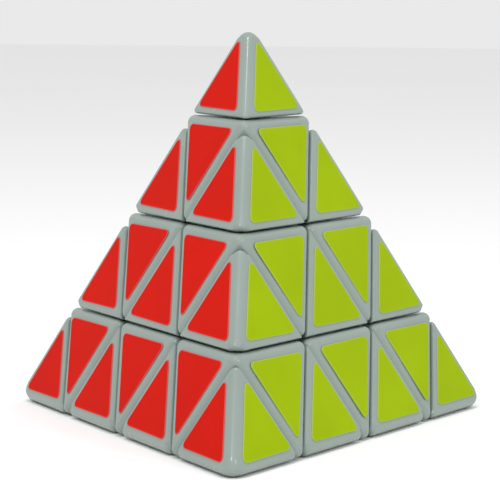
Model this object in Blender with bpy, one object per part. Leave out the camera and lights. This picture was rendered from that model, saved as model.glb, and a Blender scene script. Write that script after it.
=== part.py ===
"""Four-layer pyramid twisting puzzle, every piece a separate solid.

The pyramid is a regular tetrahedron cut by planes parallel to its faces. Heights are measured from
the centre of the solid along four axes that run to the corners: A straight up, B to the front
corner, C to the back right and D to the back left. A piece lies between two heights on each axis.
All lengths are in millimetres until a finished solid is scaled to metres.
"""
import math

import bmesh
import bpy
from mathutils import Matrix, Vector

# ---- driving dimensions (mm) ----
EDGE = 100.0            # long edge of the pyramid before its edges are rounded
LAYERS = 4              # layers along every axis
GAP = 0.4               # running gap between neighbouring pieces
BAND = 2.5              # set-back of the rounding along the long edges
RIM = 1.3               # set-back of the rounding around every outside face
BLUNT = 1.2             # how far a corner on a long edge is cut back
TIP_BLUNT = 3.9         # how far a corner of the whole pyramid is cut back
CORE_R = 6.5            # ball at the centre
BALL_SEAT_R = 7.0       # hollow that the inner pieces leave around the ball
TONGUE_IN, TONGUE_OUT, TONGUE_DEPTH = 11.4, 12.8, 0.9
GROOVE_IN, GROOVE_OUT, GROOVE_DEPTH = 11.1, 13.1, 1.3
HUB_TOP = 13.7          # height of the inner hub's flat outer end
HUB_FLAT = 2.7          # how far the hub's three sharp edges are cut back
FOOT_LOW, FOOT_HIGH, FOOT_R = 14.1, 16.8, 13.2
NECK_R = 10.7
SLOT_LOW, SLOT_HIGH, SLOT_R = 13.9, 17.1, 13.6
SLOT_NECK_R = 11.1
SCREW_R, SCREW_HOLE_R = 1.3, 1.75
SCREW_LOW, SCREW_HEAD_LOW, SCREW_HEAD_HIGH, SCREW_HEAD_R = 2.6, 31.0, 33.2, 3.1
COUNTERBORE_R, COUNTERBORE_LOW = 4.5, 24.2
SPRING_LOW, SPRING_HIGH, SPRING_COIL_R, SPRING_WIRE_R = 24.6, 29.7, 2.7, 0.4
SPRING_TURNS = 3
WASHER_LOW, WASHER_HIGH, WASHER_R, WASHER_HOLE_R = 30.1, 30.7, 4.0, 1.7
STUD_LOW, STUD_PLUG_HIGH, STUD_PLUG_R = 33.8, 40.0, 4.15
STUD_NECK_R, STUD_HEAD_LOW, STUD_HEAD_R, STUD_TOP = 2.4, 43.4, 3.3, 45.6
SOCKET_NECK_R, SOCKET_LOW, SOCKET_R, SOCKET_HIGH = 2.8, 43.0, 3.7, 46.0
STEP_IN = 0.12          # how far feet, stems and tongues stand back from the sides of their piece
ROUND_STEPS = 24
SMALL_STEPS = 16

LAYER = EDGE * math.sqrt(2.0 / 3.0) / LAYERS
HALF = GAP / 2
AXES = {
    "A": Vector((0.0, 0.0, 1.0)),
    "B": Vector((0.0, -math.sqrt(8.0) / 3.0, -1.0 / 3.0)),
    "C": Vector((math.sqrt(2.0 / 3.0), math.sqrt(2.0) / 3.0, -1.0 / 3.0)),
    "D": Vector((-math.sqrt(2.0 / 3.0), math.sqrt(2.0) / 3.0, -1.0 / 3.0)),
}
CENTRE = Vector((0.0, 0.0, LAYER))


# ---- scene helpers ----

def empty_scene():
    """Remove every object and mesh so the file holds only the puzzle."""
    for thing in list(bpy.data.objects):
        bpy.data.objects.remove(thing, do_unlink=True)
    for mesh in list(bpy.data.meshes):
        bpy.data.meshes.remove(mesh)


def link_mesh(name, mesh):
    """Put a mesh in the scene under a new object of the same name."""
    thing = bpy.data.objects.new(name, mesh)
    bpy.context.scene.collection.objects.link(thing)
    return thing


def mesh_from(name, bm):
    """Turn a bmesh into an object whose faces point outward."""
    bmesh.ops.recalc_face_normals(bm, faces=bm.faces)
    mesh = bpy.data.meshes.new(name)
    bm.to_mesh(mesh)
    bm.free()
    return link_mesh(name, mesh)


def combine(target, other, operation):
    """Apply one exact Boolean to the target and remove the second object."""
    modifier = target.modifiers.new(operation.title(), "BOOLEAN")
    modifier.operation = operation
    modifier.solver = "EXACT"
    modifier.object = other
    bpy.context.view_layer.update()
    graph = bpy.context.evaluated_depsgraph_get()
    result = bpy.data.meshes.new_from_object(target.evaluated_get(graph))
    target.modifiers.clear()
    old = target.data
    target.data = result
    bpy.data.meshes.remove(old)
    remove(other)
    return target


def remove(thing):
    """Delete an object together with its mesh."""
    mesh = thing.data
    bpy.data.objects.remove(thing, do_unlink=True)
    bpy.data.meshes.remove(mesh)


# ---- solids bounded by planes ----

def above(axis, height):
    """Half-space on the outer side of a height on one axis."""
    return (-AXES[axis], -height)


def below(axis, height):
    """Half-space on the inner side of a height on one axis."""
    return (AXES[axis], height)


def corner_points(planes):
    """Every corner of the convex region inside a set of half-spaces."""
    points = []
    count = len(planes)
    for i in range(count):
        for j in range(i + 1, count):
            for k in range(j + 1, count):
                system = Matrix((planes[i][0], planes[j][0], planes[k][0]))
                if abs(system.determinant()) < 1e-6:
                    continue
                point = system.inverted() @ Vector((planes[i][1], planes[j][1], planes[k][1]))
                inside = all(normal.dot(point) <= limit + 1e-5 for normal, limit in planes)
                if inside and all((point - other).length > 1e-4 for other in points):
                    points.append(point)
    return points


def convex_bmesh(planes):
    """Closed bmesh of the region inside a set of half-spaces, one face for each plane."""
    bm = bmesh.new()
    for point in corner_points(planes):
        bm.verts.new(point)
    bmesh.ops.convex_hull(bm, input=bm.verts)
    bmesh.ops.dissolve_limit(bm, angle_limit=0.01, verts=bm.verts, edges=bm.edges)
    bmesh.ops.recalc_face_normals(bm, faces=bm.faces)
    return bm


def faces_out(face):
    """Whether a face is part of one of the four outside faces of the pyramid."""
    middle = face.calc_center_median()
    for axis in AXES.values():
        if face.normal.dot(-axis) > 0.999 and abs(middle.dot(axis) + LAYER) < 0.01:
            return True
    return False


def faces_in(face):
    """Whether a face lies against a neighbouring piece."""
    if faces_out(face):
        return False
    return any(abs(face.normal.dot(axis)) > 0.999 for axis in AXES.values())


def round_outside(bm):
    """Round the long edges of the pyramid first, then the rim of each outside face."""
    long_edges = [e for e in bm.edges if all(faces_out(f) for f in e.link_faces)]
    if long_edges:
        bmesh.ops.bevel(bm, geom=long_edges, offset=BAND, offset_type="OFFSET", segments=2,
                        profile=0.5, affect="EDGES", clamp_overlap=True)
    bm.normal_update()
    rims = [e for e in bm.edges
            if sum(faces_in(f) for f in e.link_faces) == 1]
    bmesh.ops.bevel(bm, geom=rims, offset=RIM, offset_type="OFFSET", segments=2,
                    profile=0.5, affect="EDGES", clamp_overlap=True)
    bmesh.ops.remove_doubles(bm, verts=bm.verts, dist=0.01)


def blunt_corners(bm, corners):
    """Cut off corners: one letter is a corner of the pyramid, two are the middle of an edge."""
    for letters in corners:
        toward_it = sum((AXES[axis] for axis in letters), Vector())
        outward = toward_it.normalized()
        reach = outward.dot(toward_it) * 3 * LAYER / len(letters)
        reach -= TIP_BLUNT if len(letters) == 1 else BLUNT
        geometry = list(bm.verts) + list(bm.edges) + list(bm.faces)
        cut = bmesh.ops.bisect_plane(bm, geom=geometry, plane_co=outward * reach, plane_no=outward,
                                     clear_outer=True)
        edges = [part for part in cut["geom_cut"] if isinstance(part, bmesh.types.BMEdge)]
        bmesh.ops.contextual_create(bm, geom=edges)


def cell(name, planes, rounded=True, blunt=()):
    """Object that fills a convex region, with its outside edges rounded when asked."""
    bm = convex_bmesh(planes)
    if rounded:
        round_outside(bm)
    blunt_corners(bm, blunt)
    return mesh_from(name, bm)


# ---- solids of revolution ----

def toward(axis):
    """Rotation that carries the upright axis A onto another axis."""
    if axis == "A":
        return Matrix.Identity(3)
    return AXES["A"].rotation_difference(AXES[axis]).to_matrix()


def turned(name, axis, profile, steps):
    """Closed solid turned about one axis from (radius, height) points, outline counter-clockwise."""
    bm = bmesh.new()
    rings = []
    turn = toward(axis)
    for radius, height in profile:
        if radius < 1e-6:
            rings.append([bm.verts.new(turn @ Vector((0.0, 0.0, height)))])
            continue
        ring = []
        for step in range(steps):
            angle = math.tau * (step + 0.5) / steps
            spot = Vector((radius * math.cos(angle), radius * math.sin(angle), height))
            ring.append(bm.verts.new(turn @ spot))
        rings.append(ring)
    pairs = list(zip(rings, rings[1:] + rings[:1]))
    for low, high in pairs:
        if len(low) == 1 and len(high) == 1:
            continue
        for step in range(steps):
            after = (step + 1) % steps
            if len(low) == 1:
                bm.faces.new((low[0], high[step], high[after]))
            elif len(high) == 1:
                bm.faces.new((low[step], low[after], high[0]))
            else:
                bm.faces.new((low[step], low[after], high[after], high[step]))
    return mesh_from(name, bm)


def disc(name, axis, radius, low, high, steps=ROUND_STEPS):
    """Plain round bar about one axis."""
    outline = [(0.0, low), (radius, low), (radius, high), (0.0, high)]
    return turned(name, axis, outline, steps)


def ring(name, axis, inner, outer, low, high, steps=ROUND_STEPS):
    """Round tube about one axis."""
    outline = [(inner, low), (outer, low), (outer, high), (inner, high)]
    return turned(name, axis, outline, steps)


def ball(name, radius, steps):
    """Ball at the centre of the pyramid."""
    bm = bmesh.new()
    bmesh.ops.create_uvsphere(bm, u_segments=steps, v_segments=steps // 2, radius=radius)
    return mesh_from(name, bm)


def slot_cutter(axis):
    """Room for the feet of one corner group: a round T-shaped slot about its axis."""
    outline = [(0.0, SLOT_LOW), (SLOT_R, SLOT_LOW), (SLOT_R, SLOT_HIGH), (SLOT_NECK_R, SLOT_HIGH),
               (SLOT_NECK_R, LAYER + 1.0), (0.0, LAYER + 1.0)]
    return turned("slot", axis, outline, ROUND_STEPS)


def foot_solid(axis):
    """Full round foot of one corner group, shared out between its pieces."""
    outline = [(0.0, FOOT_LOW), (FOOT_R, FOOT_LOW), (FOOT_R, FOOT_HIGH), (NECK_R, FOOT_HIGH),
               (NECK_R, LAYER + 1.0), (0.0, LAYER + 1.0)]
    return turned("foot", axis, outline, ROUND_STEPS)


def cut_grooves(thing, axes):
    """Cut the ring grooves that receive the tongues of the layers above."""
    for axis in axes:
        groove = ring("groove", axis, GROOVE_IN, GROOVE_OUT, -GROOVE_DEPTH, 0.6)
        combine(thing, groove, "DIFFERENCE")


def add_tongue(thing, axis, side_planes):
    """Add the ring tongue that reaches through the middle plane of one axis."""
    tongue = cell("tongue", side_planes + [above(axis, -TONGUE_DEPTH), below(axis, HALF + 0.6)],
                  rounded=False)
    tube = ring("tube", axis, TONGUE_IN, TONGUE_OUT, -TONGUE_DEPTH - 1.0, 2.0)
    combine(tongue, tube, "INTERSECT")
    combine(thing, tongue, "UNION")


# ---- the six shapes of piece, each made once for the axes A, B, C and D ----

def tip_shape():
    """Corner tip: small pyramid with a socket that snaps over the stud below it."""
    planes = [above("A", 2 * LAYER + HALF)]
    planes += [above(axis, -LAYER) for axis in "BCD"]
    tip = cell("tip", planes, blunt=["A"])
    outline = [(0.0, 2 * LAYER - 1.0), (SOCKET_NECK_R, 2 * LAYER - 1.0), (SOCKET_NECK_R, SOCKET_LOW),
               (SOCKET_R, SOCKET_LOW), (SOCKET_R, SOCKET_HIGH), (0.0, SOCKET_HIGH)]
    return combine(tip, turned("socket", "A", outline, SMALL_STEPS), "DIFFERENCE")


def axial_shape():
    """Axial piece under a tip: octahedron with a three-sided stem and a counterbored hole."""
    planes = [above("A", LAYER + HALF), below("A", 2 * LAYER - HALF)]
    for axis in "BCD":
        planes += [below(axis, -HALF), above(axis, -LAYER)]
    axial = cell("axial", planes, blunt=["AB", "AC", "AD"])
    stem_planes = [above("A", FOOT_LOW), below("A", LAYER + 0.8)]
    stem_planes += [below(axis, -HALF - STEP_IN) for axis in "BCD"]
    stem = cell("stem", stem_planes, rounded=False)
    combine(stem, foot_solid("A"), "INTERSECT")
    combine(axial, stem, "UNION")
    outline = [(0.0, 10.0), (SCREW_HOLE_R, 10.0), (SCREW_HOLE_R, COUNTERBORE_LOW),
               (COUNTERBORE_R, COUNTERBORE_LOW), (COUNTERBORE_R, 2 * LAYER + 2.0),
               (0.0, 2 * LAYER + 2.0)]
    return combine(axial, turned("bore", "A", outline, SMALL_STEPS), "DIFFERENCE")


def wing_shape():
    """Edge wing beside corner A on the edge to B: small pyramid with a hooked foot."""
    planes = [above("A", LAYER + HALF), above("B", HALF), above("C", -LAYER), above("D", -LAYER)]
    wing = cell("wing", planes)
    foot_planes = [above("A", FOOT_LOW), below("A", LAYER + 0.8), above("B", HALF + STEP_IN),
                   below("C", -HALF - STEP_IN), below("D", -HALF - STEP_IN), below("B", LAYER)]
    foot = cell("foot_part", foot_planes, rounded=False)
    combine(foot, foot_solid("A"), "INTERSECT")
    return combine(wing, foot, "UNION")


def middle_shape():
    """Middle edge piece between corners A and B: octahedron, two tongues, two grooves."""
    planes = []
    for axis in "AB":
        planes += [above(axis, HALF), below(axis, LAYER - HALF)]
    for axis in "CD":
        planes += [below(axis, -HALF), above(axis, -LAYER)]
    middle = cell("middle", planes, blunt=["AB"])
    for axis, other in ("AB", "BA"):
        sides = [above(other, HALF + STEP_IN), below(other, LAYER - 1.0)]
        sides += [below("C", -HALF - STEP_IN), below("D", -HALF - STEP_IN)]
        add_tongue(middle, axis, sides)
    cut_grooves(middle, "CD")
    for axis in "AB":
        combine(middle, slot_cutter(axis), "DIFFERENCE")
    return combine(middle, ball("seat", BALL_SEAT_R, SMALL_STEPS), "DIFFERENCE")


def centre_shape():
    """Face centre shared by axes A, B and C: small pyramid pointing inward, three tongues."""
    planes = [above(axis, HALF) for axis in "ABC"] + [above("D", -LAYER)]
    centre = cell("centre", planes)
    for axis in "ABC":
        sides = [above(other, HALF + STEP_IN) for other in "ABC" if other != axis]
        sides.append(above("D", -LAYER + 1.0))
        add_tongue(centre, axis, sides)
    for axis in "ABC":
        combine(centre, slot_cutter(axis), "DIFFERENCE")
    return combine(centre, ball("seat", BALL_SEAT_R, SMALL_STEPS), "DIFFERENCE")


def hub_shape():
    """Hidden inner hub under axial A: three-sided wedge with a screw hole and three grooves."""
    planes = [below("A", HUB_TOP)] + [below(axis, -HALF) for axis in "BCD"]
    for first, second in ("BC", "CD", "DB"):
        planes.append(((AXES[first] + AXES[second]).normalized(), -HUB_FLAT))
    hub = cell("hub", planes, rounded=False)
    cut_grooves(hub, "BCD")
    combine(hub, disc("hole", "A", SCREW_HOLE_R, 1.0, HUB_TOP + 3.0, SMALL_STEPS), "DIFFERENCE")
    return combine(hub, ball("seat", BALL_SEAT_R, SMALL_STEPS), "DIFFERENCE")


# ---- hardware ----

def core_solid():
    """Central ball with a blind screw hole on each axis."""
    core = ball("core", CORE_R, SMALL_STEPS)
    for axis in AXES:
        combine(core, disc("hole", axis, SCREW_R + 0.3, SCREW_LOW - 0.3, CORE_R + 2.0, SMALL_STEPS),
                "DIFFERENCE")
    return core


def screw_shape():
    """Axis screw with a pan head and a cross recess."""
    outline = [(0.0, SCREW_LOW), (SCREW_R * 0.6, SCREW_LOW), (SCREW_R, SCREW_LOW + 0.7),
               (SCREW_R, SCREW_HEAD_LOW), (SCREW_HEAD_R, SCREW_HEAD_LOW),
               (SCREW_HEAD_R, SCREW_HEAD_HIGH - 0.7), (SCREW_HEAD_R - 0.8, SCREW_HEAD_HIGH),
               (0.0, SCREW_HEAD_HIGH)]
    screw = turned("screw", "A", outline, SMALL_STEPS)
    for width, depth in ((3.4, 0.6), (0.6, 3.4)):
        bm = bmesh.new()
        bmesh.ops.create_cube(bm, size=1.0)
        bmesh.ops.scale(bm, vec=(width, depth, 2.4), verts=bm.verts)
        bmesh.ops.translate(bm, vec=(0.0, 0.0, SCREW_HEAD_HIGH), verts=bm.verts)
        combine(screw, mesh_from("slot", bm), "DIFFERENCE")
    return screw


def spring_shape():
    """Compression spring around the screw, a round wire swept along a helix."""
    bm = bmesh.new()
    sides, per_turn = 5, 12
    total = int(SPRING_TURNS * per_turn)
    low = SPRING_LOW + SPRING_WIRE_R
    high = SPRING_HIGH - SPRING_WIRE_R
    sections = []
    for step in range(total + 1):
        angle = math.tau * step / per_turn
        height = low + (high - low) * step / total
        out = Vector((math.cos(angle), math.sin(angle), 0.0))
        section = []
        for side in range(sides):
            around = math.tau * side / sides
            offset = out * math.cos(around) + Vector((0.0, 0.0, math.sin(around)))
            spot = out * SPRING_COIL_R + Vector((0.0, 0.0, height)) + offset * SPRING_WIRE_R
            section.append(bm.verts.new(spot))
        sections.append(section)
    for first, second in zip(sections, sections[1:]):
        for side in range(sides):
            after = (side + 1) % sides
            bm.faces.new((first[side], first[after], second[after], second[side]))
    bm.faces.new(sections[0])
    bm.faces.new(sections[-1])
    return mesh_from("spring", bm)


def stud_shape():
    """Plug pressed into the axial piece, with the mushroom head that the tip turns on."""
    outline = [(0.0, STUD_LOW), (STUD_PLUG_R, STUD_LOW), (STUD_PLUG_R, STUD_PLUG_HIGH),
               (STUD_NECK_R, STUD_PLUG_HIGH), (STUD_NECK_R, STUD_HEAD_LOW),
               (STUD_HEAD_R, STUD_HEAD_LOW + 0.5), (STUD_HEAD_R, STUD_HEAD_LOW + 1.0),
               (STUD_HEAD_R - 1.2, STUD_TOP), (0.0, STUD_TOP)]
    return turned("stud", "A", outline, SMALL_STEPS)


# ---- placing copies ----

def axes_turn(targets):
    """Rotation that carries the axes A, B, C and D onto the four axes named in the string."""
    home = Matrix((AXES["A"], AXES["B"], AXES["C"])).transposed()
    away = Matrix(tuple(AXES[axis] for axis in targets[:3])).transposed()
    return away @ home.inverted()


def full_order(first, second):
    """The four axes in the order that starts with two given ones and keeps the handedness."""
    rest = [axis for axis in "ABCD" if axis not in (first, second)]
    order = first + second + rest[0] + rest[1]
    if axes_turn(order).determinant() < 0:
        order = first + second + rest[1] + rest[0]
    return order


def material(name, colour, metallic, roughness):
    """Plain material with a principled shader."""
    made = bpy.data.materials.new(name)
    made.use_nodes = True
    shader = made.node_tree.nodes["Principled BSDF"]
    shader.inputs["Base Color"].default_value = (*colour, 1.0)
    shader.inputs["Metallic"].default_value = metallic
    shader.inputs["Roughness"].default_value = roughness
    made.diffuse_color = (*colour, 1.0)
    return made


def place(shape, name, order, look, smooth_angle=0.6):
    """Copy a shape onto other axes, in metres, with its origin at the centre of the pyramid."""
    mesh = shape.data.copy()
    mesh.name = name
    mesh.transform(axes_turn(order).to_4x4())
    mesh.transform(Matrix.Scale(0.001, 4))
    mesh.materials.clear()
    mesh.materials.append(material(name + "_material", *look))
    bm = bmesh.new()
    bm.from_mesh(mesh)
    bmesh.ops.remove_doubles(bm, verts=bm.verts, dist=0.000001)
    bmesh.ops.triangulate(bm, faces=bm.faces)
    bm.normal_update()
    for face in bm.faces:
        face.smooth = True
    for edge in bm.edges:
        edge.smooth = len(edge.link_faces) == 2 and edge.calc_face_angle(0.0) < smooth_angle
    bm.to_mesh(mesh)
    bm.free()
    thing = link_mesh(name, mesh)
    thing.location = CENTRE * 0.001
    return thing


PLASTIC = ((0.37, 0.42, 0.41), 0.0, 0.4)
INNER = ((0.30, 0.33, 0.33), 0.0, 0.45)
STEEL = ((0.62, 0.62, 0.60), 1.0, 0.35)
SPRING_STEEL = ((0.45, 0.45, 0.46), 1.0, 0.3)
BALL_PLASTIC = ((0.08, 0.08, 0.09), 0.0, 0.5)


def build():
    """Make every piece of the puzzle."""
    empty_scene()
    shapes = {
        "tip": tip_shape(), "axial": axial_shape(), "wing": wing_shape(),
        "middle": middle_shape(), "centre": centre_shape(), "hub": hub_shape(),
        "screw": screw_shape(), "spring": spring_shape(), "stud": stud_shape(),
        "washer": ring("washer", "A", WASHER_HOLE_R, WASHER_R, WASHER_LOW, WASHER_HIGH, SMALL_STEPS),
        "core": core_solid(),
    }
    place(shapes["core"], "core_ball", "ABCD", BALL_PLASTIC)
    for axis in "ABCD":
        second = "B" if axis != "B" else "A"
        order = full_order(axis, second)
        place(shapes["tip"], "tip_" + axis, order, PLASTIC)
        place(shapes["axial"], "axial_" + axis, order, PLASTIC)
        place(shapes["hub"], "inner_hub_" + axis, order, INNER)
        place(shapes["screw"], "axis_screw_" + axis, order, STEEL)
        place(shapes["spring"], "tension_spring_" + axis, order, SPRING_STEEL)
        place(shapes["washer"], "spring_washer_" + axis, order, STEEL)
        place(shapes["stud"], "tip_stud_" + axis, order, INNER)
        for other in "ABCD":
            if other != axis:
                place(shapes["wing"], "wing_" + axis + other, full_order(axis, other), PLASTIC)
    for pair in ("AB", "AC", "AD", "BC", "BD", "CD"):
        place(shapes["middle"], "middle_edge_" + pair, full_order(*pair), PLASTIC)
    for missing, group in (("D", "ABC"), ("C", "ABD"), ("B", "ACD"), ("A", "BCD")):
        order = group + missing
        if axes_turn(order).determinant() < 0:
            order = group[0] + group[2] + group[1] + missing
        place(shapes["centre"], "face_centre_" + group, order, PLASTIC)
    for shape in shapes.values():
        remove(shape)


build()
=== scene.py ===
"""Finished pieces, stickers and stage for a four-layer pyramid twisting puzzle.

The cut planes are measured from the centre of the pyramid along four axes that run to its corners:
A up, B to the front, C to the back right, D to the back left. Pieces are shaped in millimetres
about that centre, then copied onto the other axes in metres.
"""

import math
import random

import bmesh
import bpy
from bpy.props import FloatProperty, FloatVectorProperty, IntProperty, PointerProperty
from mathutils import Matrix, Vector


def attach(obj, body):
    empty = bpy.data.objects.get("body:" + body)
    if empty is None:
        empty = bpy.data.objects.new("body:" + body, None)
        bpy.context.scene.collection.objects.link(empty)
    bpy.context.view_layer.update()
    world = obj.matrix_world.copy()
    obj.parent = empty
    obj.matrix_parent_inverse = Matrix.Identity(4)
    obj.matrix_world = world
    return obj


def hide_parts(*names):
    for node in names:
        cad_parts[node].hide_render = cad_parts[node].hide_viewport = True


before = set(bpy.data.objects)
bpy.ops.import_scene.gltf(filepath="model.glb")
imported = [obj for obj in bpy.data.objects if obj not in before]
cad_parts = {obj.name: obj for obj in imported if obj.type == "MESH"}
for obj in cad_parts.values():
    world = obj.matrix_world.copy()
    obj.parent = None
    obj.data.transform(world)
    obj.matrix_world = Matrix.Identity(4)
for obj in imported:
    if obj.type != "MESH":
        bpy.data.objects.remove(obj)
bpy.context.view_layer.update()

bl_info = {
    "name": "Pyramid twisting puzzle",
    "version": (1, 0, 0),
    "blender": (4, 5, 0),
    "location": "View3D > Sidebar > Puzzle",
    "description": "Builds the pieces, stickers and stage of a four-layer pyramid puzzle",
    "category": "Add Mesh",
}

MM = 0.001
COLLECTION = bpy.context.scene.collection

AXES = {
    "A": Vector((0.0, 0.0, 1.0)),
    "B": Vector((0.0, -math.sqrt(8.0) / 3.0, -1.0 / 3.0)),
    "C": Vector((math.sqrt(2.0 / 3.0), math.sqrt(2.0) / 3.0, -1.0 / 3.0)),
    "D": Vector((-math.sqrt(2.0 / 3.0), math.sqrt(2.0) / 3.0, -1.0 / 3.0)),
}
PAIRS = ("AB", "AC", "AD", "BC", "BD", "CD")
FACE_GROUPS = {"D": "ABC", "C": "ABD", "B": "ACD", "A": "BCD"}
IN_FACE = math.sqrt(8.0) / 3.0     # how much a height changes per millimetre across a face

# mechanism shared with the solid model (mm)
BALL_SEAT_R = 7.0
TONGUE_IN, TONGUE_OUT, TONGUE_DEPTH = 11.4, 12.8, 0.9
GROOVE_IN, GROOVE_OUT, GROOVE_DEPTH = 11.1, 13.1, 1.3
FOOT_LOW, FOOT_HIGH, FOOT_R, NECK_R = 14.1, 16.8, 13.2, 10.7
SLOT_LOW, SLOT_HIGH, SLOT_R, SLOT_NECK_R = 13.9, 17.1, 13.6, 11.1
SCREW_HOLE_R, SCREW_HOLE_LOW, COUNTERBORE_R, COUNTERBORE_LOW = 1.75, 10.0, 4.5, 24.2
SOCKET_NECK_R, SOCKET_LOW, SOCKET_R, SOCKET_HIGH = 2.8, 43.0, 3.7, 46.0
STEP_IN = 0.12
BIG = 400.0
OVERSHOOT = 2.0
CUT_OVER = 1.0           # how far a cutter runs past the solid that it cuts
JOIN_OVER = 0.5          # how far two joined solids overlap
BAR_STEPS, RING_STEPS = 48, 72
CORNER_MERGE = 0.5       # short edges at an octahedron's corners that become one point
DOME_LOOPS = (1.2, 1.7, 2.2, 2.66)   # edge loops of a rounded corner, in radii from its point
DOME_END = 2.6           # where a rounded corner ends, in radii from its point
STICKER_SINK = 0.05      # how far a sticker reaches into the plastic
STICKER_RIM = 0.12       # width of a sticker's cut rim, the band where a highlight is painted
FLOOR_DROP = 0.0002      # floor below the base, in metres


# ---- settings that a user would change ----

class PuzzleShape(bpy.types.PropertyGroup):
    """Sizes of the moulded pieces."""

    edge: FloatProperty(name="Long edge", description="Edge of the pyramid before rounding, mm",
                        default=100.0, min=60.0, max=160.0)
    gap: FloatProperty(name="Running gap", description="Space between neighbouring pieces, mm",
                       default=0.26, min=0.2, max=1.0)
    band: FloatProperty(name="Long edge set-back", description="Rounding of the long edges, mm",
                        default=2.5, min=0.5, max=4.0)
    pyramid_rim: FloatProperty(name="Pyramid rim", default=1.3, min=0.2, max=3.0,
                               description="Rim set-back on the three-sided pieces, mm")
    octahedron_rim: FloatProperty(name="Octahedron rim", default=1.0, min=0.2, max=2.0,
                                  description="Rim set-back on the eight-sided pieces, mm")
    tip_dome: FloatProperty(name="Tip radius", default=2.0, min=0.5, max=4.0,
                            description="Radius of the four corners of the pyramid, mm")
    wing_dome: FloatProperty(name="Wing end radius", default=1.4, min=0.5, max=3.0,
                             description="Radius of the ends of a wing's long edge, mm")
    band_steps: IntProperty(name="Long edge steps", default=8, min=2, max=16,
                            description="Facets across the rounding of a long edge")
    rim_steps: IntProperty(name="Rim steps", default=5, min=2, max=12,
                           description="Facets across the rounding of a rim")


class PuzzleStickers(bpy.types.PropertyGroup):
    """Sizes and colours of the vinyl stickers."""

    thickness: FloatProperty(name="Thickness", description="Height above the plastic, mm",
                             default=0.16, min=0.05, max=0.5)
    margin: FloatProperty(name="Margin", description="Plastic left beside a cut, mm",
                          default=1.85, min=0.5, max=4.0)
    edge_margin: FloatProperty(name="Edge margin", default=2.75, min=0.5, max=5.0,
                               description="Plastic left beside a long edge, mm")
    tip_drop: FloatProperty(name="Tip sticker drop", default=0.35, min=0.0, max=1.0,
                            description="How much nearer to its cut a tip's sticker lies, mm")
    corner: FloatProperty(name="Corner radius", description="Rounding of the corners, mm",
                          default=1.0, min=0.2, max=3.0)
    wander: FloatProperty(name="Placing error", description="Largest placing error, mm",
                          default=0.14, min=0.0, max=0.5)
    left: FloatVectorProperty(name="Left face", description="Vinyl of the left face",
                              subtype="COLOR", size=3, default=(0.56, 0.006, 0.0))
    right: FloatVectorProperty(name="Right face", description="Vinyl of the right face",
                               subtype="COLOR", size=3, default=(0.293, 0.412, 0.001))
    back: FloatVectorProperty(name="Back face", description="Vinyl of the back face",
                              subtype="COLOR", size=3, default=(0.012, 0.09, 0.48))
    base: FloatVectorProperty(name="Base face", description="Vinyl of the base face",
                              subtype="COLOR", size=3, default=(0.86, 0.46, 0.01))


class PuzzleStage(bpy.types.PropertyGroup):
    """Camera and floor."""

    camera_place: FloatVectorProperty(name="Camera place", subtype="TRANSLATION", unit="LENGTH",
                                      description="Where the camera stands", size=3,
                                      default=(0.01994, -0.48476, 0.08698))
    camera_turn: FloatVectorProperty(name="Camera turn", subtype="EULER", size=3,
                                     description="Direction of the camera",
                                     default=(math.radians(83.873), math.radians(-0.474),
                                              math.radians(2.326)))
    focal: FloatProperty(name="Focal length", description="Lens length in mm on a 36 mm sensor",
                         default=178.44, min=20.0, max=400.0)
    floor_colour: FloatVectorProperty(name="Floor", description="Colour of the floor",
                                      subtype="COLOR", size=3, default=(0.93, 0.93, 0.93))


# ---- selecting and shaping ----

def layer(context):
    """Height of one layer in millimetres."""
    return context.scene.puzzle_shape.edge * math.sqrt(2.0 / 3.0) / 4.0


def deselect():
    """Leave edit mode and clear the selection."""
    if bpy.context.object and bpy.context.object.mode != "OBJECT":
        bpy.ops.object.mode_set(mode="OBJECT")
    bpy.ops.object.select_all(action="DESELECT")


def pick(thing):
    """Make one object the selected and active one."""
    deselect()
    thing.select_set(True)
    bpy.context.view_layer.objects.active = thing


def above(axis, height):
    """Half-space on the outer side of a height on one axis."""
    return (-AXES[axis], -height)


def below(axis, height):
    """Half-space on the inner side of a height on one axis."""
    return (AXES[axis], height)


def cut_block(name, planes, merge=0.001):
    """Block cut down to the convex region inside a set of half-spaces."""
    deselect()
    bpy.ops.mesh.primitive_cube_add(size=BIG)
    block = bpy.context.object
    block.name = name
    bpy.ops.object.mode_set(mode="EDIT")
    for normal, limit in planes:
        bpy.ops.mesh.select_all(action="SELECT")
        bpy.ops.mesh.bisect(plane_co=normal * limit, plane_no=normal, use_fill=True,
                            clear_outer=True)
    bpy.ops.mesh.select_all(action="SELECT")
    bpy.ops.mesh.remove_doubles(threshold=merge)
    bpy.ops.mesh.normals_make_consistent(inside=False)
    bpy.ops.object.mode_set(mode="OBJECT")
    return block


def on_outside(face, height):
    """Whether a face is part of one of the four outside faces of the pyramid."""
    middle = face.calc_center_median()
    return any(face.normal.dot(-axis) > 0.999 and abs(middle.dot(axis) + height) < 0.02
               for axis in AXES.values())


def against_neighbour(face, height):
    """Whether a face lies against a neighbouring piece."""
    if on_outside(face, height):
        return False
    return any(abs(face.normal.dot(axis)) > 0.999 for axis in AXES.values())


def bevel_edges(thing, wanted, offset, steps):
    """Bevel the edges that pass a test."""
    pick(thing)
    bpy.ops.object.mode_set(mode="EDIT")
    bpy.ops.mesh.select_mode(type="EDGE")
    bpy.ops.mesh.select_all(action="DESELECT")
    bm = bmesh.from_edit_mesh(thing.data)
    bm.normal_update()
    chosen = [edge for edge in bm.edges if len(edge.link_faces) == 2 and wanted(edge)]
    for edge in chosen:
        edge.select_set(True)
    bm.select_flush_mode()
    bmesh.update_edit_mesh(thing.data)
    if chosen:
        bpy.ops.mesh.bevel(offset=offset, offset_type="OFFSET", segments=steps, profile=0.5,
                           affect="EDGES", clamp_overlap=False)
    bpy.ops.object.mode_set(mode="OBJECT")


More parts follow.
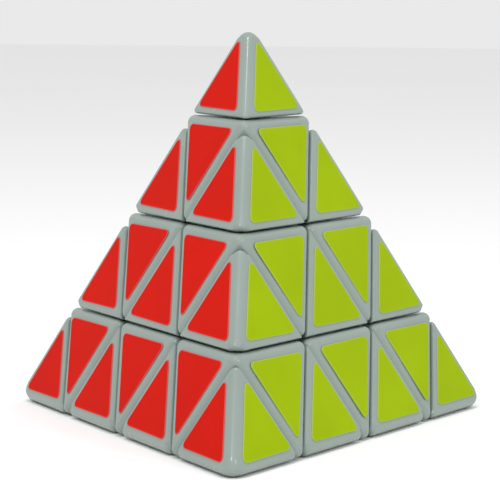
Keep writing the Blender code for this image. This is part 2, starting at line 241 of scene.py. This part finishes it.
def dome_corner(piece, corner, middle, radius):
    """Draw one pointed corner of a small pyramid in onto a ball that touches its three faces."""
    inward = (middle - corner).normalized()
    centre = corner + inward * 3.0 * radius
    pick(piece)
    bpy.ops.object.mode_set(mode="EDIT")
    for share in DOME_LOOPS:
        bpy.ops.mesh.select_all(action="SELECT")
        bpy.ops.mesh.bisect(plane_co=corner + inward * share * radius, plane_no=inward)
    bm = bmesh.from_edit_mesh(piece.data)
    for vertex in bm.verts:
        if (vertex.co - corner).dot(inward) < DOME_END * radius:
            away = vertex.co - centre
            if away.length > radius:
                vertex.co = centre + away.normalized() * radius
    bmesh.update_edit_mesh(piece.data)
    bpy.ops.mesh.select_all(action="SELECT")
    bpy.ops.mesh.remove_doubles(threshold=0.01)
    bpy.ops.mesh.vert_connect_nonplanar(angle_limit=math.radians(1.0))
    bpy.ops.object.mode_set(mode="OBJECT")


def three_sided(context, name, planes, domes=(), dome=1.0):
    """Small pyramid with its long edges, its rims and then its outside corners rounded."""
    shape = context.scene.puzzle_shape
    height = layer(context)
    piece = cut_block(name, planes)
    corners = [v.co.copy() for v in piece.data.vertices]
    middle = sum(corners, Vector()) / len(corners)
    bevel_edges(piece, lambda e: all(on_outside(f, height) for f in e.link_faces),
                shape.band, shape.band_steps)
    bevel_edges(piece, lambda e: sum(against_neighbour(f, height) for f in e.link_faces) == 1,
                shape.pyramid_rim, shape.rim_steps)
    for axis in domes:
        corner = max(corners, key=lambda place_at: place_at.dot(AXES[axis]))
        dome_corner(piece, corner, middle, dome)
    return piece


def eight_sided(context, name, planes):
    """Octahedron with every edge and corner rounded alike."""
    shape = context.scene.puzzle_shape
    piece = cut_block(name, planes, merge=CORNER_MERGE)
    bevel_edges(piece, lambda e: True, shape.octahedron_rim, shape.rim_steps)
    return piece


def toward(axis):
    """Rotation that carries the upright axis A onto another axis."""
    if axis == "A":
        return Matrix.Identity(4)
    return AXES["A"].rotation_difference(AXES[axis]).to_matrix().to_4x4()


def bar(axis, radius, low, high, steps=BAR_STEPS):
    """Round bar about one axis."""
    deselect()
    bpy.ops.mesh.primitive_cylinder_add(vertices=steps, radius=radius, depth=high - low,
                                        location=(0.0, 0.0, (high + low) / 2.0))
    made = bpy.context.object
    bpy.ops.object.transform_apply(location=True, rotation=True, scale=True)
    made.data.transform(toward(axis))
    return made


def tube(axis, inner, outer, low, high):
    """Round tube about one axis."""
    made = bar(axis, outer, low, high, RING_STEPS)
    hole = bar(axis, inner, low - CUT_OVER, high + CUT_OVER, RING_STEPS)
    return boolean(made, hole, "DIFFERENCE")


def ball(radius):
    """Ball at the centre of the pyramid."""
    deselect()
    bpy.ops.mesh.primitive_uv_sphere_add(segments=40, ring_count=20, radius=radius)
    return bpy.context.object


def boolean(target, other, operation):
    """Combine two solids exactly and remove the second."""
    pick(target)
    modifier = target.modifiers.new("Join", "BOOLEAN")
    modifier.operation = operation
    modifier.solver = "EXACT"
    modifier.object = other
    bpy.ops.object.modifier_apply(modifier=modifier.name)
    discard(other)
    return target


def discard(thing):
    """Delete an object and its mesh."""
    mesh = thing.data
    bpy.data.objects.remove(thing, do_unlink=True)
    bpy.data.meshes.remove(mesh)


def foot_bars(height):
    """The wide and the narrow part of a corner group's round foot."""
    wide = bar("A", FOOT_R, FOOT_LOW, FOOT_HIGH, RING_STEPS)
    neck = bar("A", NECK_R, FOOT_HIGH - JOIN_OVER, height + CUT_OVER, RING_STEPS)
    return boolean(wide, neck, "UNION")


def cut_slot(piece, axis, height):
    """Clear the round T-shaped slot that a corner group's feet run in."""
    boolean(piece, bar(axis, SLOT_R, SLOT_LOW, SLOT_HIGH, RING_STEPS), "DIFFERENCE")
    neck = bar(axis, SLOT_NECK_R, SLOT_HIGH - JOIN_OVER, height + CUT_OVER, RING_STEPS)
    boolean(piece, neck, "DIFFERENCE")


def add_tongue(piece, axis, sides, half):
    """Ring tongue that reaches through the middle plane of one axis."""
    part = cut_block("tongue", sides + [above(axis, -TONGUE_DEPTH), below(axis, half + 0.6)])
    boolean(part, tube(axis, TONGUE_IN, TONGUE_OUT, -TONGUE_DEPTH - OVERSHOOT, OVERSHOOT),
            "INTERSECT")
    boolean(piece, part, "UNION")


# ---- copies on the other axes ----

def axes_turn(targets):
    """Rotation that carries the axes A, B, C and D onto the axes named in the string."""
    home = Matrix((AXES["A"], AXES["B"], AXES["C"])).transposed()
    away = Matrix(tuple(AXES[axis] for axis in targets[:3])).transposed()
    return away @ home.inverted()


def even_order(*first):
    """Order of the four axes that starts as asked and keeps the handedness."""
    rest = [axis for axis in "ABCD" if axis not in first]
    order = "".join(first) + "".join(rest)
    if axes_turn(order).determinant() < 0:
        order = "".join(first) + "".join(reversed(rest))
    return order


def place(context, master, name, order, body, material, replaced=None, nudge=None):
    """Copy a master shape onto other axes, in metres, riding on one body."""
    copy = bpy.data.objects.new(name, master.data.copy())
    copy.data.name = name
    COLLECTION.objects.link(copy)
    if nudge is not None:
        copy.data.transform(nudge)
    copy.data.transform(axes_turn(order).to_4x4())
    copy.data.transform(Matrix.Translation((0.0, 0.0, layer(context) * MM)) @ Matrix.Scale(MM, 4))
    copy.data.materials.clear()
    copy.data.materials.append(material)
    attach(copy, body)
    if replaced:
        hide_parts(replaced)
    return copy


def finish_shape(piece, angle=32.0):
    """Merge stray points, smooth the rounded areas and keep the flats flat."""
    pick(piece)
    bpy.ops.object.mode_set(mode="EDIT")
    bpy.ops.mesh.select_all(action="SELECT")
    bpy.ops.mesh.remove_doubles(threshold=0.003)
    bpy.ops.mesh.dissolve_degenerate(threshold=0.002)
    bpy.ops.mesh.normals_make_consistent(inside=False)
    bpy.ops.object.mode_set(mode="OBJECT")
    bpy.ops.object.shade_smooth_by_angle(angle=math.radians(angle))
    weighted = piece.modifiers.new("Flats", "WEIGHTED_NORMAL")
    weighted.keep_sharp = True
    weighted.weight = 80
    bpy.ops.object.modifier_apply(modifier=weighted.name)


# ---- shader graphs ----

class Value:
    """A shader socket that takes part in Python arithmetic."""

    def __init__(self, graph, socket):
        self.graph = graph
        self.socket = socket

    def _math(self, operation, first, second):
        node = self.graph.node("ShaderNodeMath", {"operation": operation}, {0: first, 1: second})
        return node["Value"]

    def __add__(self, other):
        return self._math("ADD", self, other)

    __radd__ = __add__

    def __sub__(self, other):
        return self._math("SUBTRACT", self, other)

    def __rsub__(self, other):
        return self._math("SUBTRACT", other, self)

    def __mul__(self, other):
        return self._math("MULTIPLY", self, other)

    __rmul__ = __mul__


class Made:
    """A node whose outputs are read by name."""

    def __init__(self, graph, node):
        self.graph = graph
        self.node = node

    def __getitem__(self, name):
        return Value(self.graph, self.node.outputs[name])


class Graph:
    """Node tree of one new material."""

    def __init__(self, name):
        self.material = bpy.data.materials.new(name)
        self.material.use_nodes = True
        self.tree = self.material.node_tree
        self.shader = self.tree.nodes["Principled BSDF"]

    def node(self, kind, settings=None, inputs=None, stops=None):
        """Add a node with its settings first, then the values or links of its sockets."""
        node = self.tree.nodes.new(kind)
        for key, value in (settings or {}).items():
            setattr(node, key, value)
        if stops:
            ramp = node.color_ramp
            while len(ramp.elements) < len(stops):
                ramp.elements.new(0.5)
            for element, (position, colour) in zip(ramp.elements, stops):
                element.position = position
                element.color = colour
        for key, value in (inputs or {}).items():
            self.feed(node.inputs[key], value)
        return Made(self, node)

    def feed(self, socket, value):
        """Link or set one input socket."""
        if isinstance(value, Value):
            self.tree.links.new(value.socket, socket)
        else:
            socket.default_value = value

    def set(self, **values):
        """Set or link the sockets of the principled shader, named with underscores."""
        for key, value in values.items():
            self.feed(self.shader.inputs[key.replace("_", " ")], value)

    def noise(self, place, scale, detail=3.0, roughness=0.5, distortion=0.0):
        """Noise value at a place."""
        return self.node("ShaderNodeTexNoise", {}, {
            "Vector": place, "Scale": scale, "Detail": detail, "Roughness": roughness,
            "Distortion": distortion})["Fac"]

    def steps(self, value, low, high):
        """Value mapped from low..high onto 0..1 and kept inside it."""
        return self.node("ShaderNodeMapRange", {"clamp": True}, {
            "Value": value, "From Min": low, "From Max": high, "To Min": 0.0, "To Max": 1.0,
        })["Result"]

    def blend(self, factor, first, second):
        """Colour between two colours."""
        node = self.tree.nodes.new("ShaderNodeMix")
        node.data_type = "RGBA"
        self.feed(node.inputs["Factor"], factor)
        self.feed(node.inputs[6], first)
        self.feed(node.inputs[7], second)
        return Value(self, node.outputs[2])

    def bump(self, height, strength, distance):
        """Normal tilted by a height value."""
        return self.node("ShaderNodeBump", {}, {
            "Height": height, "Strength": strength, "Distance": distance})["Normal"]


def shade(colour, amount):
    """Colour made lighter or darker, with full alpha."""
    return tuple(min(1.0, channel * amount) for channel in colour) + (1.0,)


def plastic(name, colour, rough=0.15):
    """Moulded plastic: faint mottling, handling haze, fine grain and a few hairline scratches."""
    graph = Graph(name)
    spot = graph.node("ShaderNodeTexCoord")["Object"]
    cloud = graph.noise(spot, 38.0, 4.0, 0.55)
    grain = graph.noise(spot, 2600.0, 2.0, 0.6)
    haze = graph.steps(graph.noise(spot, 120.0, 5.0, 0.6, 0.4), 0.42, 0.68)
    stretched = graph.node("ShaderNodeMapping", {}, {
        "Vector": spot, "Scale": (60.0, 900.0, 240.0), "Rotation": (0.4, 0.7, 0.3)})["Vector"]
    scratch = graph.steps(graph.noise(stretched, 1.0, 1.0, 0.4, 0.3), 0.71, 0.78)
    tone = graph.blend(graph.steps(cloud, 0.3, 0.7), shade(colour, 0.955), shade(colour, 1.035))
    tone = graph.blend(haze * 0.08, tone, shade(colour, 1.16))
    tone = graph.blend(scratch * 0.08, tone, shade(colour, 1.22))
    graph.set(Base_Color=tone,
              Roughness=rough + cloud * 0.06 + haze * 0.1 + scratch * 0.1,
              Normal=graph.bump(grain * 0.6 + cloud * 0.5 - scratch * 0.2, 0.2, 0.00006),
              IOR=1.53, Specular_IOR_Level=0.5)
    graph.material.diffuse_color = shade(colour, 1.0)
    return graph.material


def vinyl(name, colour):
    """Printed vinyl: even colour, a pale painted highlight on the rim, a soft satin gloss and
    faint ripples.
    """
    graph = Graph(name)
    spot = graph.node("ShaderNodeTexCoord")["Object"]
    rim = graph.node("ShaderNodeAttribute", {"attribute_name": "rim"})["Fac"]
    cloud = graph.noise(spot, 55.0, 3.0, 0.5)
    fine = graph.noise(spot, 1500.0, 2.0, 0.6)
    dust = graph.steps(graph.noise(spot, 900.0, 4.0, 0.7), 0.7, 0.82)
    tone = graph.blend(graph.steps(cloud, 0.3, 0.7), shade(colour, 0.95), shade(colour, 1.05))
    tone = graph.blend(dust * 0.02, tone, (0.8, 0.8, 0.76, 1.0))
    # the pale colour mixed into the rim band is a painted highlight along the sticker's edge
    pale = tuple(0.55 * channel + 0.3 for channel in colour) + (1.0,)
    tone = graph.blend(rim * 0.3, tone, pale)
    graph.set(Base_Color=tone,
              Roughness=0.36 + cloud * 0.08 + dust * 0.12,
              Normal=graph.bump(cloud * 0.7 + fine * 0.25, 0.18, 0.00008),
              IOR=1.46, Specular_IOR_Level=0.03)
    graph.material.diffuse_color = shade(colour, 1.0)
    return graph.material


def metal(name, colour, rough):
    """Plated steel with fine turning marks."""
    graph = Graph(name)
    spot = graph.node("ShaderNodeTexCoord")["Object"]
    lines = graph.noise(graph.node("ShaderNodeMapping", {}, {
        "Vector": spot, "Scale": (900.0, 900.0, 5200.0)})["Vector"], 1.0, 3.0, 0.6)
    tone = graph.blend(lines, shade(colour, 0.8), shade(colour, 1.1))
    graph.set(Base_Color=tone, Metallic=1.0, Roughness=rough + lines * 0.15,
              Normal=graph.bump(lines, 0.2, 0.00005))
    graph.material.diffuse_color = shade(colour, 1.0)
    return graph.material


GREY = (0.246, 0.300, 0.273)
_finishes = {}


def finish(name, maker, *values):
    """Material made once and shared."""
    if name not in _finishes:
        _finishes[name] = maker(name, *values)
    return _finishes[name]


def grey_plastic():
    """Plastic of all the outer pieces."""
    return finish("grey_plastic", plastic, GREY)


# ---- pieces ----

class PUZZLE_OT_tips(bpy.types.Operator):
    """Build the four corner tips, each with the socket that snaps over its stud"""

    bl_idname = "puzzle.tips"
    bl_label = "Corner tips"

    def execute(self, context):
        shape = context.scene.puzzle_shape
        height, half = layer(context), shape.gap / 2.0
        planes = [above("A", 2 * height + half)] + [above(axis, -height) for axis in "BCD"]
        master = three_sided(context, "tip_master", planes, "A", shape.tip_dome)
        neck = bar("A", SOCKET_NECK_R, 2 * height - CUT_OVER, SOCKET_LOW + JOIN_OVER)
        boolean(master, neck, "DIFFERENCE")
        boolean(master, bar("A", SOCKET_R, SOCKET_LOW, SOCKET_HIGH), "DIFFERENCE")
        finish_shape(master)
        for axis in "ABCD":
            body = "tip_" + axis
            tip = place(context, master, "tip_shell_" + axis, even_order(axis), body,
                        grey_plastic(), body)
        discard(master)
        return {"FINISHED"}


class PUZZLE_OT_axials(bpy.types.Operator):
    """Build the four eight-sided pieces under the tips, with stem and screw hole"""

    bl_idname = "puzzle.axials"
    bl_label = "Axial pieces"

    def execute(self, context):
        shape = context.scene.puzzle_shape
        height, half = layer(context), shape.gap / 2.0
        planes = [above("A", height + half), below("A", 2 * height - half)]
        for axis in "BCD":
            planes += [below(axis, -half), above(axis, -height)]
        master = eight_sided(context, "axial_master", planes)
        sides = [above("A", FOOT_LOW), below("A", height + 0.8)]
        stem = cut_block("stem", sides + [below(axis, -half - STEP_IN) for axis in "BCD"])
        boolean(stem, foot_bars(height), "INTERSECT")
        boolean(master, stem, "UNION")
        hole = bar("A", SCREW_HOLE_R, SCREW_HOLE_LOW, COUNTERBORE_LOW + JOIN_OVER)
        boolean(master, hole, "DIFFERENCE")
        bore = bar("A", COUNTERBORE_R, COUNTERBORE_LOW, 2 * height + OVERSHOOT)
        boolean(master, bore, "DIFFERENCE")
        finish_shape(master)
        for axis in "ABCD":
            piece = place(context, master, "axial_shell_" + axis, even_order(axis),
                          "corner_layer_" + axis, grey_plastic(), "axial_" + axis)
        discard(master)
        return {"FINISHED"}


class PUZZLE_OT_wings(bpy.types.Operator):
    """Build the twelve edge wings with their hooked feet"""

    bl_idname = "puzzle.wings"
    bl_label = "Edge wings"

    def execute(self, context):
        shape = context.scene.puzzle_shape
        height, half = layer(context), shape.gap / 2.0
        planes = [above("A", height + half), above("B", half), above("C", -height),
                  above("D", -height)]
        master = three_sided(context, "wing_master", planes, "AB", shape.wing_dome)
        foot = cut_block("foot", [above("A", FOOT_LOW), below("A", height + 0.8),
                                  above("B", half + STEP_IN), below("B", height),
                                  below("C", -half - STEP_IN), below("D", -half - STEP_IN)])
        boolean(foot, foot_bars(height), "INTERSECT")
        boolean(master, foot, "UNION")
        finish_shape(master)
        for axis in "ABCD":
            for other in "ABCD":
                if other != axis:
                    name = "wing_" + axis + other
                    wing = place(context, master, name.replace("wing", "wing_shell"),
                                 even_order(axis, other), name, grey_plastic(), name)
        discard(master)
        return {"FINISHED"}


class PUZZLE_OT_middles(bpy.types.Operator):
    """Build the six eight-sided pieces at the middle of the long edges"""

    bl_idname = "puzzle.middles"
    bl_label = "Middle edge pieces"

    def execute(self, context):
        shape = context.scene.puzzle_shape
        height, half = layer(context), shape.gap / 2.0
        planes = []
        for axis in "AB":
            planes += [above(axis, half), below(axis, height - half)]
        for axis in "CD":
            planes += [below(axis, -half), above(axis, -height)]
        master = eight_sided(context, "middle_master", planes)
        for axis, other in ("AB", "BA"):
            sides = [above(other, half + STEP_IN), below(other, height - 1.0),
                     below("C", -half - STEP_IN), below("D", -half - STEP_IN)]
            add_tongue(master, axis, sides, half)
        for axis in "CD":
            boolean(master, tube(axis, GROOVE_IN, GROOVE_OUT, -GROOVE_DEPTH, 0.6), "DIFFERENCE")
        for axis in "AB":
            cut_slot(master, axis, height)
        boolean(master, ball(BALL_SEAT_R), "DIFFERENCE")
        finish_shape(master)
        for pair in PAIRS:
            name = "middle_edge_" + pair
            piece = place(context, master, "middle_shell_" + pair, even_order(*pair), name,
                          grey_plastic(), name)
        discard(master)
        return {"FINISHED"}


class PUZZLE_OT_centres(bpy.types.Operator):
    """Build the four three-sided pieces at the middle of the faces"""

    bl_idname = "puzzle.centres"
    bl_label = "Face centres"

    def execute(self, context):
        shape = context.scene.puzzle_shape
        height, half = layer(context), shape.gap / 2.0
        planes = [above(axis, half) for axis in "ABC"] + [above("D", -height)]
        master = three_sided(context, "centre_master", planes)
        for axis in "ABC":
            sides = [above(other, half + STEP_IN) for other in "ABC" if other != axis]
            add_tongue(master, axis, sides + [above("D", -height + 1.0)], half)
        for axis in "ABC":
            cut_slot(master, axis, height)
        boolean(master, ball(BALL_SEAT_R), "DIFFERENCE")
        finish_shape(master)
        for missing, group in FACE_GROUPS.items():
            order = group + missing
            if axes_turn(order).determinant() < 0:
                order = group[0] + group[2] + group[1] + missing
            name = "face_centre_" + group
            piece = place(context, master, "centre_shell_" + group, order, name, grey_plastic(),
                          name)
        discard(master)
        return {"FINISHED"}


# ---- stickers ----

def across(axis, face, height, layer_height):
    """Direction and reach, within one outside face, of the line at a height on an axis."""
    direction = (AXES[axis] + AXES[face] / 3.0) / IN_FACE
    return direction, (height - layer_height / 3.0) / IN_FACE


def sticker_master(context, name, sides, face="D"):
    """Thin three-sided sticker on one face; sides are (axis, height, keeps, margin)."""
    settings = context.scene.puzzle_stickers
    height = layer(context)
    planes = [above(face, -height - settings.thickness), below(face, -height + STICKER_SINK)]
    for axis, cut, keeps, margin in sides:
        direction, reach = across(axis, face, cut, height)
        if keeps == "above":
            planes.append((-direction, -(reach + margin)))
        else:
            planes.append((direction, reach - margin))
    master = cut_block(name, planes)
    outward = -AXES[face]
    bevel_edges(master, lambda e: all(abs(f.normal.dot(outward)) < 0.1 for f in e.link_faces),
                settings.corner * math.sqrt(3.0), 8)
    bevel_edges(master, lambda e: sum(f.normal.dot(outward) > 0.99 for f in e.link_faces) == 1,
                settings.thickness * 0.45, 3)
    pick(master)
    bpy.ops.object.mode_set(mode="EDIT")
    bpy.ops.mesh.select_mode(type="FACE")
    bpy.ops.mesh.select_all(action="DESELECT")
    bm = bmesh.from_edit_mesh(master.data)
    bm.normal_update()
    for part in bm.faces:
        part.select_set(part.normal.dot(outward) > 0.9999)
    bmesh.update_edit_mesh(master.data)
    bpy.ops.mesh.inset(thickness=STICKER_RIM, depth=0.0)
    bpy.ops.object.mode_set(mode="OBJECT")
    # rim is 1 on a sticker's edge band and 0 inside; the vinyl shader paints a highlight there
    paint = master.data.attributes.new("rim", "FLOAT", "POINT")
    top = [p for p in master.data.polygons if p.normal.dot(outward) > 0.9999]
    widest = max(top, key=lambda p: p.area)
    inner = set(widest.vertices)
    for index in range(len(master.data.vertices)):
        paint.data[index].value = 0.0 if index in inner else 1.0
    bpy.ops.object.shade_smooth_by_angle(angle=math.radians(40.0))
    return master


def face_vinyl(context, face):
    """Vinyl of one outside face, named by the corner it lies opposite."""
    settings = context.scene.puzzle_stickers
    names = {"C": ("left_vinyl", settings.left), "D": ("right_vinyl", settings.right),
             "B": ("back_vinyl", settings.back), "A": ("base_vinyl", settings.base)}
    name, colour = names[face]
    return finish(name, vinyl, tuple(colour))


def wander(settings, dice, face_axis, centre):
    """Small seeded shift and turn of a sticker within the face it lies on."""
    normal = -AXES[face_axis]
    side = normal.orthogonal().normalized()
    other = normal.cross(side)
    reach = settings.wander
    shift = side * dice.uniform(-reach, reach) + other * dice.uniform(-reach, reach)
    turn = Matrix.Rotation(math.radians(dice.uniform(-0.7, 0.7)), 4, normal)
    return Matrix.Translation(centre + shift) @ turn @ Matrix.Translation(-centre)


def mesh_centre(thing):
    """Middle of a shape's corners."""
    return sum((v.co for v in thing.data.vertices), Vector()) / len(thing.data.vertices)


class PUZZLE_OT_stickers(bpy.types.Operator):
    """Build the vinyl stickers, sixteen to a face"""

    bl_idname = "puzzle.stickers"
    bl_label = "Stickers"

    def execute(self, context):
        settings = context.scene.puzzle_stickers
        height = layer(context)
        cut, edge = settings.margin, settings.edge_margin
        kinds = {
            "tip": [("A", 2 * height, "above", cut - settings.tip_drop),
                    ("B", -height, "above", edge), ("C", -height, "above", edge)],
            "axial": [("A", 2 * height, "below", cut), ("B", 0.0, "below", cut),
                      ("C", 0.0, "below", cut)],
            "wing": [("A", height, "above", cut), ("B", 0.0, "above", cut),
                     ("C", -height, "above", edge)],
            "wing_other": [("A", height, "above", cut), ("C", 0.0, "above", cut),
                           ("B", -height, "above", edge)],
            "middle": [("A", height, "below", cut), ("B", height, "below", cut),
                       ("C", 0.0, "below", cut)],
            "centre": [("A", 0.0, "above", cut), ("B", 0.0, "above", cut),
                       ("C", 0.0, "above", cut)],
        }
        masters = {name: sticker_master(context, "sticker_" + name, sides)
                   for name, sides in kinds.items()}
        dice = random.Random(11)
        for face, group in FACE_GROUPS.items():
            for master, order, name, body in self.spots(face, group):
                thing = masters[master]
                nudge = wander(settings, dice, "D", mesh_centre(thing))
                sticker = place(context, thing, "sticker_%s_on_%s" % (name, face), order, body,
                                face_vinyl(context, face), nudge=nudge)
        for master in masters.values():
            discard(master)
        return {"FINISHED"}

    def spots(self, face, group):
        """Master, axis order, name and body of each sticker on one face."""
        found = []
        for top in group:
            low, high = [axis for axis in group if axis != top]
            order = top + low + high + face
            if axes_turn(order).determinant() < 0:
                low, high = high, low
                order = top + low + high + face
            found.append(("tip", order, "tip_" + top, "tip_" + top))
            found.append(("axial", order, "axial_" + top, "corner_layer_" + top))
            found.append(("wing", order, "wing_" + top + low, "wing_" + top + low))
            found.append(("wing_other", order, "wing_" + top + high, "wing_" + top + high))
            pair = "".join(sorted(top + low))
            name = "middle_edge_" + pair
            found.append(("middle", order, name, name))
        order = group + face
        if axes_turn(order).determinant() < 0:
            order = group[0] + group[2] + group[1] + face
        found.append(("centre", order, "face_centre_" + group, "face_centre_" + group))
        return found


class PUZZLE_OT_inner_parts(bpy.types.Operator):
    """Give the ball, hubs, screws, springs, washers and studs their finishes"""

    bl_idname = "puzzle.inner_parts"
    bl_label = "Inner parts"

    def execute(self, context):
        looks = {
            "core_ball": ("dark_plastic", plastic, (0.035, 0.036, 0.04), 0.4),
            "inner_hub": ("inner_plastic", plastic, (0.30, 0.33, 0.33), 0.42),
            "tip_stud": ("inner_plastic", plastic, (0.30, 0.33, 0.33), 0.42),
            "axis_screw": ("plated_steel", metal, (0.56, 0.55, 0.52), 0.28),
            "spring_washer": ("plated_steel", metal, (0.56, 0.55, 0.52), 0.28),
            "tension_spring": ("spring_wire", metal, (0.40, 0.40, 0.41), 0.24),
        }
        for name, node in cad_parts.items():
            for start, (label, maker, colour, rough) in looks.items():
                if name.startswith(start):
                    look = finish(label, maker, colour, rough)
                    for place_slot in node.material_slots:
                        place_slot.material = look
        return {"FINISHED"}


# ---- stage ----

class PUZZLE_OT_stage(bpy.types.Operator):
    """Set up the pale floor, the soft lights and the camera"""

    bl_idname = "puzzle.stage"
    bl_label = "Stage"

    def execute(self, context):
        settings = context.scene.puzzle_stage
        self.floor(settings)
        context.scene.view_settings.view_transform = "Standard"
        self.light("key_light", (-0.3, -0.7, 0.8), 0.2, 2.8)
        self.light("fill_light", (0.65, -0.6, 0.5), 0.2, 1.5)
        self.light("top_light", (0.0, -0.25, 1.0), 0.22, 2.2)
        world = bpy.data.worlds.new("pale_room")
        context.scene.world = world
        world.use_nodes = True
        backdrop = world.node_tree.nodes["Background"]
        backdrop.inputs["Color"].default_value = (1.0, 1.0, 1.0, 1.0)
        backdrop.inputs["Strength"].default_value = 0.82
        lens = bpy.data.cameras.new("camera")
        lens.lens = settings.focal
        lens.sensor_width = 36.0
        lens.clip_start = 0.01
        camera = bpy.data.objects.new("camera", lens)
        COLLECTION.objects.link(camera)
        camera.location = settings.camera_place
        camera.rotation_euler = settings.camera_turn
        context.scene.camera = camera
        return {"FINISHED"}

    def floor(self, settings):
        """Wide pale floor just under the base stickers."""
        deselect()
        bpy.ops.mesh.primitive_plane_add(size=6.0, location=(0.0, 0.0, -FLOOR_DROP))
        floor = bpy.context.object
        floor.name = "floor"
        bpy.ops.object.transform_apply(location=True, rotation=True, scale=True)
        graph = Graph("floor_paint")
        spot = graph.node("ShaderNodeTexCoord")["Object"]
        cloud = graph.noise(spot, 3.0, 3.0)
        tone = graph.blend(cloud, shade(settings.floor_colour, 0.99),
                           shade(settings.floor_colour, 1.01))
        graph.set(Base_Color=tone, Roughness=0.9)
        floor.data.materials.append(graph.material)

    def light(self, name, spot, size, power):
        """Square soft light aimed at the middle of the puzzle."""
        lamp = bpy.data.lights.new(name, "AREA")
        lamp.size = size
        lamp.energy = power
        thing = bpy.data.objects.new(name, lamp)
        COLLECTION.objects.link(thing)
        thing.location = spot
        aim = Vector((0.0, 0.0, 0.035)) - Vector(spot)
        thing.rotation_euler = aim.to_track_quat("-Z", "Y").to_euler()


class PUZZLE_PT_panel(bpy.types.Panel):
    """Lists the puzzle's settings and its building steps"""

    bl_idname = "PUZZLE_PT_panel"
    bl_label = "Pyramid puzzle"
    bl_space_type = "VIEW_3D"
    bl_region_type = "UI"
    bl_category = "Puzzle"

    def draw(self, context):
        for group in (context.scene.puzzle_shape, context.scene.puzzle_stickers,
                      context.scene.puzzle_stage):
            box = self.layout.box()
            for key in group.__annotations__:
                box.prop(group, key)
        for step in STEPS:
            self.layout.operator(step.bl_idname)


STEPS = (PUZZLE_OT_tips, PUZZLE_OT_axials, PUZZLE_OT_wings, PUZZLE_OT_middles, PUZZLE_OT_centres,
         PUZZLE_OT_stickers, PUZZLE_OT_inner_parts, PUZZLE_OT_stage)
GROUPS = {"puzzle_shape": PuzzleShape, "puzzle_stickers": PuzzleStickers,
          "puzzle_stage": PuzzleStage}


def register():
    """Register the settings, the operators and the panel."""
    for name, group in GROUPS.items():
        bpy.utils.register_class(group)
        setattr(bpy.types.Scene, name, PointerProperty(type=group))
    for step in STEPS + (PUZZLE_PT_panel,):
        bpy.utils.register_class(step)


def unregister():
    """Remove everything that register added."""
    for step in reversed(STEPS + (PUZZLE_PT_panel,)):
        bpy.utils.unregister_class(step)
    for name, group in reversed(GROUPS.items()):
        delattr(bpy.types.Scene, name)
        bpy.utils.unregister_class(group)


def main():
    """Build the puzzle step by step."""
    register()
    for step in STEPS:
        area, name = step.bl_idname.split(".")
        getattr(getattr(bpy.ops, area), name)()
    deselect()


if __name__ == "__main__":
    main()
